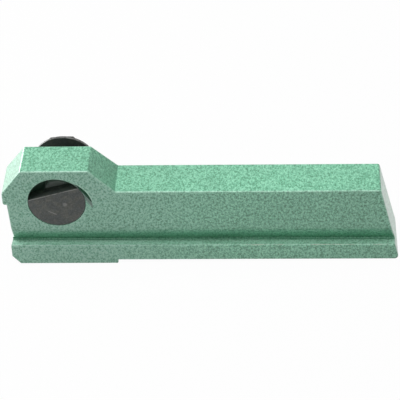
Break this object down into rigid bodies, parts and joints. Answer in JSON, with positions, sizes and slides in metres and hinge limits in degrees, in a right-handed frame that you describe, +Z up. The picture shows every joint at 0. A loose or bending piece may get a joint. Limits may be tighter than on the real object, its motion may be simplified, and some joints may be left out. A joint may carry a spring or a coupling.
{
  "type": "parting tool holder",
  "caption": "Straight parting tool holder for a lathe: green forged body with a sloped blade ledge, a round half-moon blade clamp, washer and thin hexagon nut.",
  "frame": {"origin": "middle of the flat under the shank, which the tool post grips", "axes": "+X along the shank towards its rear end, +Z up, -Y out of the blade seat; the clamp's axis is along Y"},
  "size_m": [0.1496, 0.0365, 0.0416],
  "materials": {
    "green_paint": "fine hammer-finish green enamel on a steel forging, edges worn lighter",
    "black_oxide": "dark oxide-blackened steel, satin, edges rubbed bright"
  },
  "bodies": {
    "holder_body": {"holder_body": "green_paint"},
    "washer": {"washer": "black_oxide"},
    "clamp_bolt": {"clamp_bolt": "black_oxide"},
    "hex_nut": {"hex_nut": "black_oxide"}
  },
  "joints": [
    {"name": "clamp_slide", "type": "slide", "parent": "holder_body", "child": "washer", "axis": [0, -1, 0], "range_m": [0, 0.0076]},
    {"name": "jaw_turn", "type": "hinge", "parent": "washer", "child": "clamp_bolt", "pos_m": [-0.0757, 0.00819, 0.0256], "axis": [0, -1, 0], "continuous": true},
    {"name": "nut_turn", "type": "hinge", "parent": "clamp_bolt", "child": "hex_nut", "pos_m": [-0.0757, 0.00819, 0.0256], "axis": [0, -1, 0], "continuous": true}
  ]
}
